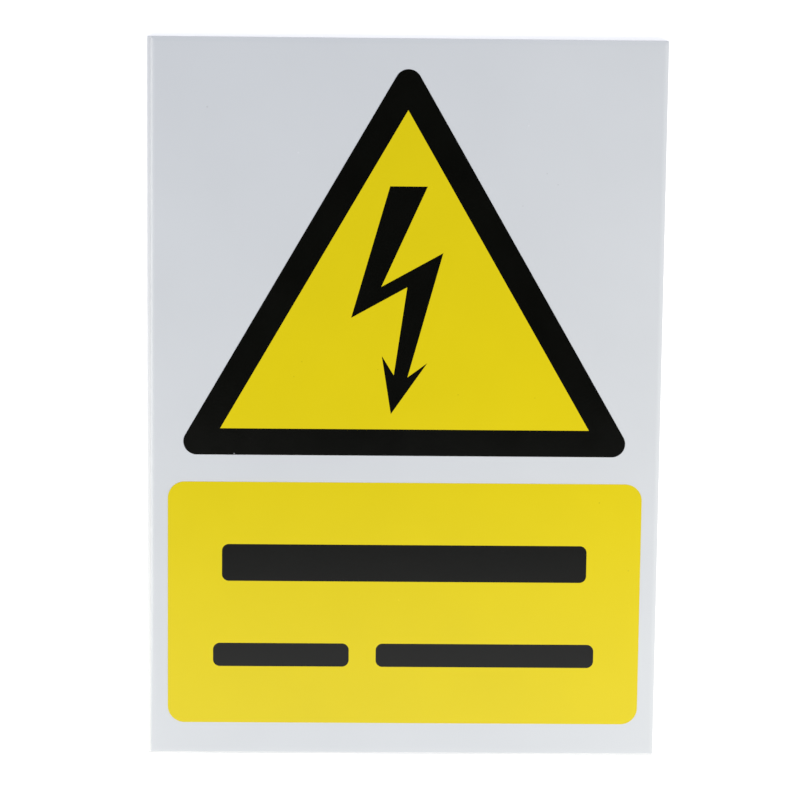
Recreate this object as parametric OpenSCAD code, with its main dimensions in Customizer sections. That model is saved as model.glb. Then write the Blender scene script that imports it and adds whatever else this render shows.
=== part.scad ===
// Warning sign on a rigid plastic sheet: a warning triangle printed above a message panel.
// The sheet lies on its back, with +X to the reader's right, +Y towards the top of the sign and
// +Z out of the printed face. The origin is the middle of the whole outline, in the plane of the
// back, and sizes are millimetres.

/* [Sheet] */
// Width of the sheet's face, between the cuts' upper edges
sheet_w = 148; // [146:1:220]
// Height of the sheet's face
sheet_h = 210; // [205:1:300]
// Thickness of the sheet
sheet_t = 2; // [1:0.1:3]
// Width of the strip along each edge of the face that the shear blade drew down
roll_w = 1.5; // [1.2:0.1:3]
// Depth to which the blade drew the face down at the very edge
roll_d = 0.15; // [0.05:0.05:0.25]
// How far the slanting cuts leave the back to the left of the face and below it
cut_lean = 1.1; // [0:0.1:1.5]

/* [Print] */
// Thickness of the coat of ink
ink_t = 0.05; // [0.02:0.01:0.2]

/* [Warning triangle] */
// Side of the triangle, taken to the sharp corners
triangle_side = 134.2; // [122:0.2:139]
// Width of the black border
border_w = 7.8; // [4:0.1:11]
// Radius of the border's outer corners
triangle_r = 3.9; // [1:0.1:7]
// White gap between the triangle and the panel below it
triangle_gap = 8; // [3:0.1:13]
// How far the triangle is printed to the left of the face's middle
triangle_left = 0.35; // [0:0.05:1]

/* [Lightning arrow] */
// Height of the whole lightning arrow
bolt_h = 66.4; // [40:0.1:68]
// Height of the arrow's point above the border's inner edge
bolt_rise = 4.5; // [2:0.1:7]
// Distance of the arrow's point to the left of the triangle's middle
bolt_left = 4.1; // [2:0.1:6]

/* [Message panel] */
// White margin on each side of the panel
side_margin = 4.9; // [3:0.1:12]
// White margin under the panel
bottom_margin = 8.9; // [4:0.1:14]
// Height of the panel
panel_h = 72.1; // [60:0.1:78]
// Radius of the panel's corners
panel_r = 4.9; // [1:0.1:12]

/* [Legend bars] */
// Length of the upper bar
upper_bar_w = 106.6; // [40:0.2:130]
// Height of the upper bar
upper_bar_h = 11; // [5:0.5:18]
// Drop from the panel's top edge to the middle of the upper bar
upper_bar_drop = 24; // [12:0.5:30]
// Length of the lower left bar
left_bar_w = 39.8; // [20:0.1:55]
// Length of the lower right bar
right_bar_w = 64; // [20:0.1:80]
// Height of the two lower bars
lower_bar_h = 7; // [5:0.5:14]
// Gap between the two lower bars
lower_bar_gap = 7.9; // [2:0.1:16]
// Rise from the panel's bottom edge to the middle of the lower bars
lower_bar_rise = 20.5; // [10:0.1:26]
// Radius of the bars' corners
bar_r = 2; // [0.5:0.1:2.4]

/* [Hidden] */
$fn = 96;

// An arc tangent to the face that has dropped by roll_d when it reaches the edge
roll_r = (roll_w * roll_w + roll_d * roll_d) / (2 * roll_d);
// Height of the cut walls under the arc
wall_h = sheet_t - roll_d;
// The back lies a whole lean off the face, so the face stands half a lean off the outline's middle
face_shift = cut_lean / 2;
// How far the stock runs past the finished edges before it is trimmed
trim = 5;
// How far a corner's circle stands past the sides that it rounds, so that it crosses them cleanly
hair = 0.0005;

panel_w = sheet_w - 2 * side_margin;
panel_bottom = -sheet_h / 2 + bottom_margin;
panel_top = panel_bottom + panel_h;

// An equilateral triangle's middle is at a third of its height, which is its inscribed radius
triangle_base = panel_top + triangle_gap;
outer_inradius = triangle_side / sqrt(12);
inner_inradius = outer_inradius - border_w;
triangle_middle = triangle_base + outer_inradius;
triangle_corners = [90, 210, 330];

// The arrow's outline in hundredths of its height, with the origin at its point
bolt_units = 100;
bolt_corners = [
    [0, 0],
    [15.7, 22.7],
    [7.1, 16.3],
    [22.1, 71.1],
    [-4.7, 56.1],
    [15, 100],
    [-1.3, 100],
    [-17.7, 42.4],
    [6.6, 56],
    [1.1, 17.2],
    [-4.2, 25.7],
];

lower_bars_w = left_bar_w + lower_bar_gap + right_bar_w;
left_bar_x = (left_bar_w - lower_bars_w) / 2;
right_bar_x = (lower_bars_w - right_bar_w) / 2;
upper_bar_y = panel_top - upper_bar_drop;
lower_bar_y = panel_bottom + lower_bar_rise;

function polar(r, angle) = [r * cos(angle), r * sin(angle)];

// Section across the sheet: a flat face with an arc falling to the edge on each side, and two
// slanting walls that run down from the arcs' ends
module rolled_section(width) {
    flat_w = width - 2 * roll_w;
    overrun = cut_lean * roll_d / wall_h;
    intersection() {
        polygon([
            [-width / 2 - cut_lean, 0],
            [width / 2 - cut_lean, 0],
            [width / 2 + overrun, sheet_t],
            [-width / 2 + overrun, sheet_t],
        ]);
        union() {
            translate([-flat_w / 2, 0])
                square([flat_w, sheet_t]);
            for (side = [-1, 1])
                translate([side * flat_w / 2, sheet_t - roll_r])
                    circle(r = roll_r);
        }
    }
}

// Equilateral triangle around the origin with sharp corners, one of them upwards
module sharp_triangle(inradius) {
    polygon([for (angle = triangle_corners) polar(2 * inradius, angle)]);
}

// The same with round corners: past the two points where a corner's circle meets the sides, only
// the circle is left
module round_triangle(inradius, r) {
    difference() {
        sharp_triangle(inradius);
        for (angle = triangle_corners)
            rotate(angle)
                translate([2 * (inradius - r), 0])
                    difference() {
                        translate([r / 2, -r])
                            square(2 * r);
                        circle(r = r + hair);
                    }
    }
}

// Rectangle around the origin with round corners
module round_rectangle(width, height, r) {
    square([width - 2 * r, height], center = true);
    square([width, height - 2 * r], center = true);
    for (x = [-1, 1], y = [-1, 1])
        translate([x * (width / 2 - r), y * (height / 2 - r)])
            circle(r = r);
}

// Outlines of the fields of colour, each in its place on the face
module border_outline() {
    translate([-triangle_left, triangle_middle])
        round_triangle(outer_inradius, triangle_r);
}

module triangle_outline() {
    translate([-triangle_left, triangle_middle])
        sharp_triangle(inner_inradius);
}

module bolt_outline() {
    translate([-triangle_left - bolt_left, triangle_base + border_w + bolt_rise])
        scale(bolt_h / bolt_units)
            polygon(bolt_corners);
}

module panel_outline() {
    translate([0, (panel_bottom + panel_top) / 2])
        round_rectangle(panel_w, panel_h, panel_r);
}

module upper_bar_outline() {
    translate([0, upper_bar_y])
        round_rectangle(upper_bar_w, upper_bar_h, bar_r);
}

module left_bar_outline() {
    translate([left_bar_x, lower_bar_y])
        round_rectangle(left_bar_w, lower_bar_h, bar_r);
}

module right_bar_outline() {
    translate([right_bar_x, lower_bar_y])
        round_rectangle(right_bar_w, lower_bar_h, bar_r);
}

// A field of ink on the sheet's face
module ink() {
    translate([face_shift, face_shift, sheet_t])
        linear_extrude(height = ink_t)
            children();
}

// Sheet sheared to size from the front, which draws the face down along all four edges
module sheet() {
    color("gainsboro")
        translate([face_shift, face_shift])
            intersection() {
                rotate([90, 0, 0])
                    linear_extrude(height = sheet_h + 2 * trim, center = true)
                        rolled_section(sheet_w);
                rotate([90, 0, 90])
                    linear_extrude(height = sheet_w + 2 * trim, center = true)
                        rolled_section(sheet_h);
            }
}

// Black border, an even band between two triangles about one middle
module black_border() {
    color("#101110")
        ink()
            difference() {
                border_outline();
                triangle_outline();
            }
}

// Yellow field inside the border, left open where the arrow is printed
module yellow_triangle() {
    color("#dccb1a")
        ink()
            difference() {
                triangle_outline();
                bolt_outline();
            }
}

// Arrow in the form of a lightning bolt, the sign for electric voltage
module lightning_arrow() {
    color("#101110")
        ink()
            bolt_outline();
}

// Yellow panel for the message, left open where the bars are printed
module yellow_panel() {
    color("#e4d026")
        ink()
            difference() {
                panel_outline();
                upper_bar_outline();
                left_bar_outline();
                right_bar_outline();
            }
}

// Plain black bars that fill the panel: a long one above two short ones
module legend_upper_bar() {
    color("#1a1912")
        ink()
            upper_bar_outline();
}

module legend_left_bar() {
    color("#1a1912")
        ink()
            left_bar_outline();
}

module legend_right_bar() {
    color("#1a1912")
        ink()
            right_bar_outline();
}

sheet();
black_border();
yellow_triangle();
lightning_arrow();
yellow_panel();
legend_upper_bar();
legend_left_bar();
legend_right_bar();
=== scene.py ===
import math

import bmesh
import bpy
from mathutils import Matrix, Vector


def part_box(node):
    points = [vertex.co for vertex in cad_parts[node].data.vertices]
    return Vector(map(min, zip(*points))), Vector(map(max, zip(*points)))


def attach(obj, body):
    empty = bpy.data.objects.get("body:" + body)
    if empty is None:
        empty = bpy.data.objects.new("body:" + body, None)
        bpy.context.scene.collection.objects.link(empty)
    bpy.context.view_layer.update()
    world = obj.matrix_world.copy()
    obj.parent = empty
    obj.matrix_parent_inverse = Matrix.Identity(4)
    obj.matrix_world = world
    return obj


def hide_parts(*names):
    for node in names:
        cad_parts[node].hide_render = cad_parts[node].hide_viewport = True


bl_info = {
    "name": "Warning Sign",
    "version": (1, 0, 0),
    "blender": (4, 5, 0),
    "location": "View3D > Sidebar > Sign",
    "description": "Finishes a printed plastic warning sign and lights it on a white table",
    "category": "Object",
}

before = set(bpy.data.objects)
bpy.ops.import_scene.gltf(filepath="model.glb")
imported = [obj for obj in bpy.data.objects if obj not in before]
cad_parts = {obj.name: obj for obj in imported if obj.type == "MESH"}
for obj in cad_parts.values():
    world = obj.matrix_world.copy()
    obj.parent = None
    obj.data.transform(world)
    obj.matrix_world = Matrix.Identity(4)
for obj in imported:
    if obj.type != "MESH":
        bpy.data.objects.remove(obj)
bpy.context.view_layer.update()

MM = 0.001
X, Y, Z = range(3)

# Places nearer together than this count as the same
TOUCH = 1e-6
# A face looks up, or down, where its normal lies along Z by at least this share
FACING = 0.9
# Faces that meet at a smaller angle than this are shaded as one surface
SMOOTH_ANGLE = math.radians(25)

YELLOW_FIELDS = ["yellow_triangle", "yellow_panel"]
BLACK_FIELDS = [
    "black_border",
    "lightning_arrow",
    "legend_upper_bar",
    "legend_left_bar",
    "legend_right_bar",
]

# Specks of dust under the gloss, each with its place on the face and its radius in millimetres
PLASTIC_SPECKS = [(-57.3, 85.6, 0.30), (40.3, 67.3, 0.22), (43.5, 64.1, 0.22), (33.5, 57.9, 0.20)]
PLASTIC_PALE_SPECKS = [(-31.2, 72.7, 0.28), (34.8, 81.0, 0.25)]
YELLOW_SPECKS = [
    (-29.8, 12.1, 0.22),
    (-32.1, 7.7, 0.20),
    (-7.8, 9.9, 0.20),
    (15.6, 2.7, 0.22),
    (37.9, 1.9, 0.20),
    (57.3, -29.0, 0.25),
    (66.2, -49.2, 0.22),
]
YELLOW_PALE_SPECKS = [(-1.0, -58.4, 0.25)]
# The chip through the black ink of the border, given in the same way
BORDER_CHIPS = [(-49.3, -15.1, 0.19)]
# A speck or chip keeps its strength up to the first share of its radius and is gone at the second
SPOT_CORE = 0.4
SPOT_RIM = 1.3

# Tint of the light that falls from the room
DAYLIGHT = (0.96, 1.0, 1.16, 1.0)

# The black gauze over the table: its height, and on each side where it ends and where it is solid
GAUZE_HEIGHT = 0.5
GAUZE_LEFT = (-0.18, -0.11)
GAUZE_RIGHT = (0.23, 0.14)
GAUZE_FRONT = (-0.27, -0.08)
GAUZE_REAR = (0.27, 0.12)


def edge_measures():
    """Width and depth of the edges' drawn-down strip, and the lean of the cuts under it."""
    low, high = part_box("sheet")
    corners = [vertex.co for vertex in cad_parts["sheet"].data.vertices]
    face_reach = max(corner.x for corner in corners if high.z - corner.z < TOUCH)
    back_reach = max(corner.x for corner in corners if corner.z - low.z < TOUCH)
    wall_top = max(corner.z for corner in corners if high.x - corner.x < TOUCH)
    return high.x - face_reach, high.z - wall_top, high.x - back_reach


ROLL_WIDTH, ROLL_DEPTH, CUT_LEAN = edge_measures()


class SheetSettings(bpy.types.PropertyGroup):
    """Sizes and colours of the plastic sheet."""

    roll_width: bpy.props.FloatProperty(
        name="Roll width",
        description="Width of the strip along each edge that the shear drew down",
        default=ROLL_WIDTH,
        min=0.0005,
        max=0.003,
        unit="LENGTH",
        subtype="DISTANCE",
    )
    roll_depth: bpy.props.FloatProperty(
        name="Roll depth",
        description="Depth of the drawn-down strip at the very edge",
        default=ROLL_DEPTH,
        min=0.00005,
        max=0.0004,
        unit="LENGTH",
        subtype="DISTANCE",
    )
    cut_lean: bpy.props.FloatProperty(
        name="Cut lean",
        description="How far the slanting cuts leave the back to the left of the face and below it",
        default=CUT_LEAN,
        min=0.0,
        max=0.0015,
        unit="LENGTH",
        subtype="DISTANCE",
    )
    roll_rings: bpy.props.IntProperty(
        name="Roll rings",
        description="Number of flat rings that follow the arc of the drawn-down strip",
        default=10,
        min=3,
        max=24,
    )
    corner_cut: bpy.props.FloatProperty(
        name="Corner rounding",
        description="How far the rounding of each corner reaches along the edges",
        default=0.00012,
        min=0.00005,
        max=0.001,
        unit="LENGTH",
        subtype="DISTANCE",
    )
    torn_share: bpy.props.FloatProperty(
        name="Torn share",
        description="Share of the wall, from the back, that tore instead of being cut",
        default=0.55,
        min=0.2,
        max=0.8,
        subtype="FACTOR",
    )
    back_arris: bpy.props.FloatProperty(
        name="Back arris",
        description="Width of the worn arris along the back",
        default=0.00006,
        min=0.00002,
        max=0.0002,
        unit="LENGTH",
        subtype="DISTANCE",
    )
    face_color: bpy.props.FloatVectorProperty(
        name="Face",
        description="Colour of the glossy white face",
        default=(0.647, 0.672, 0.699),
        size=3,
        min=0.0,
        max=1.0,
        subtype="COLOR",
    )
    back_color: bpy.props.FloatVectorProperty(
        name="Back",
        description="Colour of the satin back",
        default=(0.63, 0.64, 0.645),
        size=3,
        min=0.0,
        max=1.0,
        subtype="COLOR",
    )
    edge_color: bpy.props.FloatVectorProperty(
        name="Sheared edge",
        description="Colour of the sheared walls",
        default=(0.70, 0.715, 0.725),
        size=3,
        min=0.0,
        max=1.0,
        subtype="COLOR",
    )


class PrintSettings(bpy.types.PropertyGroup):
    """Colours of the printed fields."""

    yellow: bpy.props.FloatVectorProperty(
        name="Yellow",
        description="Colour of the yellow ink",
        default=(0.736, 0.60, 0.0085),
        size=3,
        min=0.0,
        max=1.0,
        subtype="COLOR",
    )
    black: bpy.props.FloatVectorProperty(
        name="Black",
        description="Colour of the black ink",
        default=(0.0030, 0.0032, 0.0025),
        size=3,
        min=0.0,
        max=1.0,
        subtype="COLOR",
    )


class StageSettings(bpy.types.PropertyGroup):
    """Camera, floor and lamps."""

    camera_place: bpy.props.FloatVectorProperty(
        name="Camera place",
        description="Where the camera stands",
        default=(-0.02388, 0.16982, 1.00146),
        size=3,
        unit="LENGTH",
        subtype="TRANSLATION",
    )
    camera_turn: bpy.props.FloatVectorProperty(
        name="Camera turn",
        description="The camera's turn from looking straight down",
        default=(math.radians(-9.597), math.radians(-1.189), math.radians(0.635)),
        size=3,
        unit="ROTATION",
        subtype="EULER",
    )
    lens: bpy.props.FloatProperty(
        name="Lens",
        description="Focal length on a 36 mm sensor",
        default=157.23,
        min=10.0,
        max=500.0,
        unit="CAMERA",
    )
    ambient: bpy.props.FloatProperty(
        name="Ambient",
        description="Brightness of the white room around the table",
        default=0.615,
        min=0.0,
        max=2.0,
    )
    key_brightness: bpy.props.FloatProperty(
        name="Key lamp",
        description="Brightness of the soft lamp in front, on the right",
        default=12.3,
        min=0.0,
        max=60.0,
    )
    low_brightness: bpy.props.FloatProperty(
        name="Low lamp",
        description="Brightness of the low lamp near the sign, in front on the left",
        default=10.2,
        min=0.0,
        max=30.0,
    )
    left_brightness: bpy.props.FloatProperty(
        name="Left lamp",
        description="Brightness of the long lamp over the left of the table",
        default=4.7,
        min=0.0,
        max=30.0,
    )
    floor_width: bpy.props.FloatProperty(
        name="Floor width",
        description="Width of the square white table",
        default=1.6,
        min=0.5,
        max=5.0,
        unit="LENGTH",
        subtype="DISTANCE",
    )
    floor_glow: bpy.props.FloatProperty(
        name="Floor glow",
        description="Light that the camera sees from the table besides its lit white",
        default=0.5,
        min=0.0,
        max=1.0,
    )


def add_node(tree, kind, inputs=None, **settings):
    """Adds a shader node with its settings; an input that is an output socket is linked."""
    node = tree.nodes.new("ShaderNode" + kind)
    for name, value in settings.items():
        setattr(node, name, value)
    for key, value in (inputs or {}).items():
        if isinstance(value, bpy.types.NodeSocket):
            tree.links.new(value, node.inputs[key])
        else:
            node.inputs[key].default_value = value
    return node


def start_material(name):
    """A new material, with its tree, its shader and the piece's own coordinates."""
    material = bpy.data.materials.new(name)
    material.use_nodes = True
    tree = material.node_tree
    shader = tree.nodes["Principled BSDF"]
    place = add_node(tree, "TexCoord").outputs["Object"]
    return material, tree, shader, place


def noise(tree, place, grain, detail=2.0):
    """Soft noise whose patches are about as wide as the grain."""
    node = add_node(tree, "TexNoise", {"Vector": place, "Scale": 1 / grain, "Detail": detail})
    return node.outputs["Fac"]


def remap(tree, value, start, end, low, high, easing="LINEAR"):
    """A value that runs from low to high while the given one runs from start to end."""
    inputs = {"Value": value, "From Min": start, "From Max": end, "To Min": low, "To Max": high}
    return add_node(tree, "MapRange", inputs, interpolation_type=easing).outputs["Result"]


def spread_noise(tree, place, grain, low, high, detail=2.0):
    """The middle of a noise, drawn out to run from low to high."""
    value = noise(tree, place, grain, detail)
    return remap(tree, value, start=0.3, end=0.7, low=low, high=high)


def mottle(tree, place, color, grain, spread):
    """A colour whose brightness wanders a little from place to place."""
    level = spread_noise(tree, place, grain, 1 - spread, 1 + spread, detail=3.0)
    inputs = {0: tuple(color), "Scale": level}
    return add_node(tree, "VectorMath", inputs, operation="SCALE").outputs["Vector"]


def shade(color, level, lift=0.0):
    """A darker or paler form of a colour."""
    return tuple(min(1.0, level * part + lift) for part in color)


def lay_over(tree, mask, under, over):
    """The colour over where the mask is 1, and the colour under elsewhere."""
    factor, first, second, result = 0, 6, 7, 2
    node = add_node(
        tree,
        "Mix",
        {factor: mask, first: under, second: (*over, 1.0)},
        data_type="RGBA",
    )
    return node.outputs[result]


def math_node(tree, operation, first, second):
    """One step of arithmetic."""
    return add_node(tree, "Math", {0: first, 1: second}, operation=operation).outputs[0]


def spot_mask(tree, place, spots, strength):
    """A mask that is as high as the strength in each round spot and fades out round it."""
    flat = add_node(tree, "VectorMath", {0: place, 1: (1, 1, 0)}, operation="MULTIPLY").outputs[0]
    mask = 0.0
    for x, y, radius in spots:
        inputs = {0: flat, 1: (x * MM, y * MM, 0)}
        away = add_node(tree, "VectorMath", inputs, operation="DISTANCE").outputs["Value"]
        core = SPOT_CORE * radius * MM
        rim = SPOT_RIM * radius * MM
        spot = remap(tree, away, core, rim, low=strength, high=0.0, easing="SMOOTHSTEP")
        mask = math_node(tree, "MAXIMUM", mask, spot)
    return mask


def speckle(tree, place, under, spots, strength, color):
    """The colour under, with specks of another colour over it."""
    return lay_over(tree, spot_mask(tree, place, spots, strength), under, color)


def gloss_skin(tree, shader, place, patches, smoothest, roughest, grain, height):
    """A gloss that changes from patch to patch, on a skin that is slightly uneven."""
    gloss = spread_noise(tree, place, patches, smoothest, roughest)
    tree.links.new(gloss, shader.inputs["Roughness"])
    bump = add_node(tree, "Bump", {"Height": noise(tree, place, grain), "Distance": height})
    tree.links.new(bump.outputs["Normal"], shader.inputs["Normal"])


def face_plastic(color):
    """Glossy white plastic with slow clouds in its colour and a few specks."""
    material, tree, shader, place = start_material("white_plastic")
    clouded = mottle(tree, place, color, grain=30 * MM, spread=0.012)
    dark = shade(color, 0.45)
    pale = shade(color, 1.3)
    dusted = speckle(tree, place, clouded, PLASTIC_SPECKS, strength=0.25, color=dark)
    specked = speckle(tree, place, dusted, PLASTIC_PALE_SPECKS, strength=0.3, color=pale)
    tree.links.new(specked, shader.inputs["Base Color"])
    gloss_skin(
        tree,
        shader,
        place,
        patches=12 * MM,
        smoothest=0.15,
        roughest=0.19,
        grain=2.2 * MM,
        height=0.006 * MM,
    )
    return material


def back_plastic(color):
    """Satin back with the faint lengthwise lines that the rolls of the sheet line leave."""
    material, tree, shader, place = start_material("plastic_back")
    clouded = mottle(tree, place, color, grain=25 * MM, spread=0.015)
    tree.links.new(clouded, shader.inputs["Base Color"])
    drawn_out = add_node(tree, "Mapping", {"Vector": place, "Scale": (1, 0.02, 1)}).outputs["Vector"]
    gloss_skin(
        tree,
        shader,
        drawn_out,
        patches=0.8 * MM,
        smoothest=0.42,
        roughest=0.5,
        grain=0.8 * MM,
        height=0.006 * MM,
    )
    return material


def edge_plastic(color, torn_top):
    """Sheared wall: a glossy cut band near the face and a rough torn band below it."""
    material, tree, shader, place = start_material("sheared_plastic")
    height = add_node(tree, "SeparateXYZ", {"Vector": place}).outputs["Z"]
    ragged = 0.06 * MM
    blur = 0.02 * MM
    wander = spread_noise(tree, place, grain=1.5 * MM, low=-ragged, high=ragged)
    level = math_node(tree, "ADD", height, wander)
    torn = remap(tree, level, torn_top - blur, torn_top + blur, low=1.0, high=0.0)
    clouded = mottle(tree, place, color, grain=4 * MM, spread=0.03)
    bands = lay_over(tree, torn, clouded, shade(color, 1.12))
    tree.links.new(bands, shader.inputs["Base Color"])
    roughness = remap(tree, torn, 0.0, 1.0, low=0.3, high=0.7)
    tree.links.new(roughness, shader.inputs["Roughness"])
    upright = add_node(tree, "Mapping", {"Vector": place, "Scale": (1, 1, 0.08)}).outputs["Vector"]
    inputs = {
        "Height": noise(tree, upright, grain=0.12 * MM),
        "Distance": 0.02 * MM,
        "Strength": remap(tree, torn, 0.0, 1.0, low=0.05, high=0.3),
    }
    tree.links.new(add_node(tree, "Bump", inputs).outputs["Normal"], shader.inputs["Normal"])
    return material


def yellow_ink(color):
    """Glossy opaque yellow ink with slow clouds and a few specks of dust."""
    material, tree, shader, place = start_material("yellow_ink")
    clouded = mottle(tree, place, color, grain=22 * MM, spread=0.012)
    dark = shade(color, 0.45)
    pale = shade(color, 1.3, lift=0.03)
    dusted = speckle(tree, place, clouded, YELLOW_SPECKS, strength=0.3, color=dark)
    specked = speckle(tree, place, dusted, YELLOW_PALE_SPECKS, strength=0.3, color=pale)
    tree.links.new(specked, shader.inputs["Base Color"])
    gloss_skin(
        tree,
        shader,
        place,
        patches=9 * MM,
        smoothest=0.13,
        roughest=0.16,
        grain=1.4 * MM,
        height=0.004 * MM,
    )
    return material


def black_ink(color, chip_color):
    """Glossy black ink, chipped to the white plastic at one place on the border."""
    material, tree, shader, place = start_material("black_ink")
    clouded = mottle(tree, place, color, grain=14 * MM, spread=0.12)
    chipped = speckle(tree, place, clouded, BORDER_CHIPS, strength=0.45, color=chip_color)
    tree.links.new(chipped, shader.inputs["Base Color"])
    gloss_skin(
        tree,
        shader,
        place,
        patches=9 * MM,
        smoothest=0.12,
        roughest=0.15,
        grain=1.4 * MM,
        height=0.004 * MM,
    )
    return material


def seen_rays(tree):
    """1 for the rays that look straight, by reflection or through glass, and 0 for the rest."""
    path = add_node(tree, "LightPath").outputs
    looks = math_node(tree, "MAXIMUM", path["Is Camera Ray"], path["Is Glossy Ray"])
    return math_node(tree, "MAXIMUM", looks, path["Is Transmission Ray"])


def white_table(glow):
    """Matt white that glows a little where it is looked at, so that only shadows show on it."""
    material = bpy.data.materials.new("white_table")
    material.use_nodes = True
    tree = material.node_tree
    tree.nodes.clear()
    matt = add_node(tree, "BsdfDiffuse", {"Color": (0.8, 0.8, 0.8, 1.0)})
    strength = math_node(tree, "MULTIPLY", seen_rays(tree), glow)
    light = add_node(tree, "Emission", {"Strength": strength})
    both = add_node(tree, "AddShader", {0: matt.outputs[0], 1: light.outputs[0]})
    add_node(tree, "OutputMaterial", {"Surface": both.outputs[0]})
    return material


def hem(tree, value, ends):
    """How much cloth there is: 0 at the first of the two ends, 1 at the second, smooth between."""
    clear, solid = ends
    if clear < solid:
        return remap(tree, value, clear, solid, 0.0, 1.0, easing="SMOOTHSTEP")
    return remap(tree, value, solid, clear, 1.0, 0.0, easing="SMOOTHSTEP")


def black_gauze():
    """Black cloth that thins out towards its four hems."""
    material = bpy.data.materials.new("black_gauze")
    material.use_nodes = True
    tree = material.node_tree
    tree.nodes.clear()
    place = add_node(tree, "TexCoord").outputs["Object"]
    parts = add_node(tree, "SeparateXYZ", {"Vector": place}).outputs
    across = math_node(
        tree,
        "MULTIPLY",
        hem(tree, parts["X"], GAUZE_LEFT),
        hem(tree, parts["X"], GAUZE_RIGHT),
    )
    along = math_node(
        tree,
        "MULTIPLY",
        hem(tree, parts["Y"], GAUZE_FRONT),
        hem(tree, parts["Y"], GAUZE_REAR),
    )
    cover = math_node(tree, "MULTIPLY", across, along)
    cloth = add_node(tree, "BsdfDiffuse", {"Color": (0.002, 0.002, 0.002, 1.0)})
    gap = add_node(tree, "BsdfTransparent")
    woven = add_node(tree, "MixShader", {0: cover, 1: gap.outputs[0], 2: cloth.outputs[0]})
    add_node(tree, "OutputMaterial", {"Surface": woven.outputs[0]})
    return material


def choose(mesh, kind, test):
    """In edit mode, selects the faces or edges that pass the test, and nothing else."""
    bpy.ops.mesh.select_mode(type=kind)
    bpy.ops.mesh.select_all(action="DESELECT")
    shape = bmesh.from_edit_mesh(mesh)
    for item in shape.faces if kind == "FACE" else shape.edges:
        if test(item):
            item.select_set(True)
    bmesh.update_edit_mesh(mesh)


def start_block(name, low, high):
    """A block between two corners, selected and alone in edit mode."""
    bpy.ops.object.select_all(action="DESELECT")
    bpy.ops.mesh.primitive_cube_add(size=1, location=(low + high) / 2, scale=high - low)
    block = bpy.context.object
    block.name = name
    block.data.name = name
    bpy.ops.object.transform_apply(location=True, rotation=True, scale=True)
    bpy.ops.object.mode_set(mode="EDIT")
    return block


def lies_at(edge, axis, place):
    """Whether both ends of the edge lie at the place along the axis."""
    return all(abs(vertex.co[axis] - place) < TOUCH for vertex in edge.verts)


def roll_steps(width, depth, rings):
    """In and up for each ring of an arc that is tangent to the face, from the edge inwards."""
    radius = (width * width + depth * depth) / (2 * depth)
    turn = math.asin(width / radius)
    angles = [turn * (1 - ring / rings) for ring in range(rings + 1)]
    for outer, inner in zip(angles, angles[1:]):
        across = radius * (math.sin(outer) - math.sin(inner))
        rise = radius * (math.cos(inner) - math.cos(outer))
        yield across, rise


def sheet_piece(settings):
    """The sheet: edges drawn down to mitred corners, and cuts that slant on the left and in front."""
    low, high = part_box("sheet")
    lean = settings.cut_lean
    wall_top = high.z - settings.roll_depth
    face_corner = Vector((low.x + lean, low.y + lean, low.z))
    sheet = start_block("sheared_sheet", face_corner, Vector((high.x, high.y, wall_top)))
    mesh = sheet.data

    def at_back(edge):
        return lies_at(edge, Z, low.z)

    choose(mesh, "EDGE", lambda edge: at_back(edge) and lies_at(edge, X, face_corner.x))
    bpy.ops.transform.translate(value=(-lean, 0, 0))
    choose(mesh, "EDGE", lambda edge: at_back(edge) and lies_at(edge, Y, face_corner.y))
    bpy.ops.transform.translate(value=(0, -lean, 0))

    choose(mesh, "FACE", lambda face: face.normal.z > FACING)
    for across, rise in roll_steps(settings.roll_width, settings.roll_depth, settings.roll_rings):
        bpy.ops.mesh.inset(thickness=across, depth=rise)

    longest_corner_edge = 5 * MM
    choose(mesh, "EDGE", lambda edge: edge.calc_length() < longest_corner_edge)
    bpy.ops.mesh.bevel(offset=settings.corner_cut, segments=4, profile=0.5)

    choose(mesh, "EDGE", at_back)
    bpy.ops.mesh.bevel(offset=settings.back_arris, segments=2, profile=0.5)
    bpy.ops.object.mode_set(mode="OBJECT")
    bpy.ops.object.shade_smooth_by_angle(angle=SMOOTH_ANGLE)
    torn_top = low.z + settings.torn_share * (wall_top - low.z)
    return sheet, torn_top


def coat_fields(names, ink):
    """Puts one ink on each of the named fields."""
    for name in names:
        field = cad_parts[name]
        field.material_slots[0].material = ink


def soft_lamp(name, place, size, brightness, color, target=(0, 0, 0), mirrored=True):
    """A rectangular lamp of even brightness that faces its target, out of the camera's sight."""
    bpy.ops.object.select_all(action="DESELECT")
    bpy.ops.object.light_add(type="AREA", location=place)
    lamp = bpy.context.object
    lamp.name = name
    lamp.data.shape = "RECTANGLE"
    lamp.data.size, lamp.data.size_y = size
    lamp.data.energy = brightness * math.pi * size[0] * size[1]
    lamp.data.color = color
    lamp.visible_camera = False
    lamp.visible_glossy = mirrored
    sight = Vector(target) - lamp.location
    lamp.rotation_euler = sight.to_track_quat("-Z", "Y").to_euler()


def white_room(scene, ambient):
    """A world that looks white and lights the table from all round."""
    world = bpy.data.worlds.new("white_room")
    world.use_nodes = True
    tree = world.node_tree
    tree.nodes.clear()
    looks = seen_rays(tree)
    strength = remap(tree, looks, 0.0, 1.0, low=ambient, high=1.0)
    color = lay_over(tree, looks, DAYLIGHT, (1.0, 1.0, 1.0))
    light = add_node(tree, "Background", {"Color": color, "Strength": strength})
    add_node(tree, "OutputWorld", {"Surface": light.outputs[0]})
    scene.world = world


def place_camera(scene, settings):
    """The camera, at the photographer's place above the sign."""
    bpy.ops.object.select_all(action="DESELECT")
    bpy.ops.object.camera_add(location=settings.camera_place, rotation=settings.camera_turn)
    camera = bpy.context.object
    camera.data.sensor_width = 36
    camera.data.lens = settings.lens
    camera.data.clip_start = 0.01
    scene.camera = camera


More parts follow.
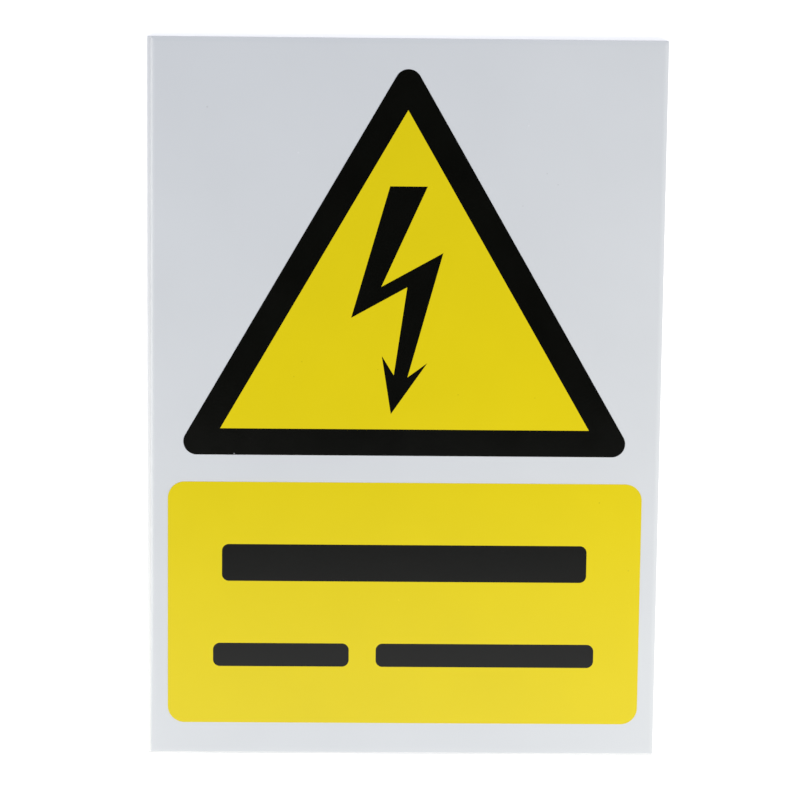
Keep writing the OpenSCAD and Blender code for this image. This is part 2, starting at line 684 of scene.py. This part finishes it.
def lay_table(settings):
    """The white table, just under the sign."""
    just_below = -0.00002
    bpy.ops.mesh.primitive_plane_add(size=settings.floor_width, location=(0, 0, just_below))
    table = bpy.context.object
    table.name = "table"
    table.data.materials.append(white_table(settings.floor_glow))


def hang_gauze():
    """The black gauze, hung level between its clear hems, out of the camera's sight."""
    bpy.ops.object.select_all(action="DESELECT")
    left, right = GAUZE_LEFT[0], GAUZE_RIGHT[0]
    front, rear = GAUZE_FRONT[0], GAUZE_REAR[0]
    middle = ((left + right) / 2, (front + rear) / 2, GAUZE_HEIGHT)
    bpy.ops.mesh.primitive_plane_add(size=1, location=middle)
    gauze = bpy.context.object
    gauze.name = "overhead_gauze"
    gauze.scale = (right - left, rear - front, 1)
    bpy.ops.object.transform_apply(location=True, rotation=True, scale=True)
    gauze.data.materials.append(black_gauze())
    gauze.visible_camera = False


def hang_lamps(settings):
    """The three lamps; only the long one may show in the gloss, as the pale line of the left edge."""
    soft_lamp(
        "key_lamp",
        place=(0.50, -0.21, 0.33),
        size=(0.28, 0.28),
        brightness=settings.key_brightness,
        color=(1.0, 0.95, 0.80),
        mirrored=False,
    )
    soft_lamp(
        "low_lamp",
        place=(-0.28, -0.15, 0.062),
        size=(0.12, 0.08),
        brightness=settings.low_brightness,
        color=(1.0, 0.95, 0.78),
        mirrored=False,
    )
    soft_lamp(
        "left_lamp",
        place=(-0.275, -0.04, 0.50),
        size=(0.10, 0.36),
        brightness=settings.left_brightness,
        color=(1.0, 0.975, 0.86),
        target=(-0.275, -0.04, 0),
    )


class SIGN_OT_stage(bpy.types.Operator):
    """Sets the camera, the white room and table, the gauze and the lamps"""

    bl_idname = "sign.stage"
    bl_label = "Stage"

    def execute(self, context):
        scene = context.scene
        settings = scene.sign_stage
        scene.view_settings.view_transform = "Standard"
        place_camera(scene, settings)
        white_room(scene, settings.ambient)
        lay_table(settings)
        hang_gauze()
        hang_lamps(settings)
        return {"FINISHED"}


class SIGN_OT_sheet(bpy.types.Operator):
    """Models the plastic sheet in place of the plain one and gives it its finishes"""

    bl_idname = "sign.sheet"
    bl_label = "Sheet"

    def execute(self, context):
        settings = context.scene.sign_sheet
        sheet, torn_top = sheet_piece(settings)
        sheet.data.materials.append(face_plastic(settings.face_color))
        sheet.data.materials.append(edge_plastic(settings.edge_color, torn_top))
        sheet.data.materials.append(back_plastic(settings.back_color))
        front, wall, back = range(3)
        for face in sheet.data.polygons:
            if face.normal.z > FACING:
                face.material_index = front
            elif face.normal.z < -FACING:
                face.material_index = back
            else:
                face.material_index = wall
        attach(sheet, "root")
        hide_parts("sheet")
        return {"FINISHED"}


class SIGN_OT_yellow_print(bpy.types.Operator):
    """Gives the yellow fields their ink"""

    bl_idname = "sign.yellow_print"
    bl_label = "Yellow print"

    def execute(self, context):
        ink = yellow_ink(context.scene.sign_print.yellow)
        coat_fields(YELLOW_FIELDS, ink)
        return {"FINISHED"}


class SIGN_OT_black_print(bpy.types.Operator):
    """Gives the border, the arrow and the bars their ink"""

    bl_idname = "sign.black_print"
    bl_label = "Black print"

    def execute(self, context):
        ink = black_ink(context.scene.sign_print.black, context.scene.sign_sheet.face_color)
        coat_fields(BLACK_FIELDS, ink)
        return {"FINISHED"}


class SIGN_PT_sidebar(bpy.types.Panel):
    """The sign's tools and their settings"""

    bl_label = "Warning Sign"
    bl_idname = "SIGN_PT_sidebar"
    bl_space_type = "VIEW_3D"
    bl_region_type = "UI"
    bl_category = "Sign"

    def draw(self, context):
        layout = self.layout
        parts = [
            (context.scene.sign_stage, [SIGN_OT_stage]),
            (context.scene.sign_sheet, [SIGN_OT_sheet]),
            (context.scene.sign_print, [SIGN_OT_yellow_print, SIGN_OT_black_print]),
        ]
        for settings, operators in parts:
            box = layout.box()
            for name in settings.bl_rna.properties.keys():
                if name not in ("rna_type", "name"):
                    box.prop(settings, name)
            for operator in operators:
                box.operator(operator.bl_idname)


CLASSES = [
    SheetSettings,
    PrintSettings,
    StageSettings,
    SIGN_OT_stage,
    SIGN_OT_sheet,
    SIGN_OT_yellow_print,
    SIGN_OT_black_print,
    SIGN_PT_sidebar,
]


def register():
    """Adds the classes and the scene's settings."""
    for cls in CLASSES:
        bpy.utils.register_class(cls)
    bpy.types.Scene.sign_sheet = bpy.props.PointerProperty(type=SheetSettings)
    bpy.types.Scene.sign_print = bpy.props.PointerProperty(type=PrintSettings)
    bpy.types.Scene.sign_stage = bpy.props.PointerProperty(type=StageSettings)


def unregister():
    """Takes the scene's settings and the classes away again."""
    del bpy.types.Scene.sign_stage
    del bpy.types.Scene.sign_print
    del bpy.types.Scene.sign_sheet
    for cls in reversed(CLASSES):
        bpy.utils.unregister_class(cls)


def main():
    """Builds the whole scene."""
    register()
    bpy.ops.sign.stage()
    bpy.ops.sign.sheet()
    bpy.ops.sign.yellow_print()
    bpy.ops.sign.black_print()


if __name__ == "__main__":
    main()
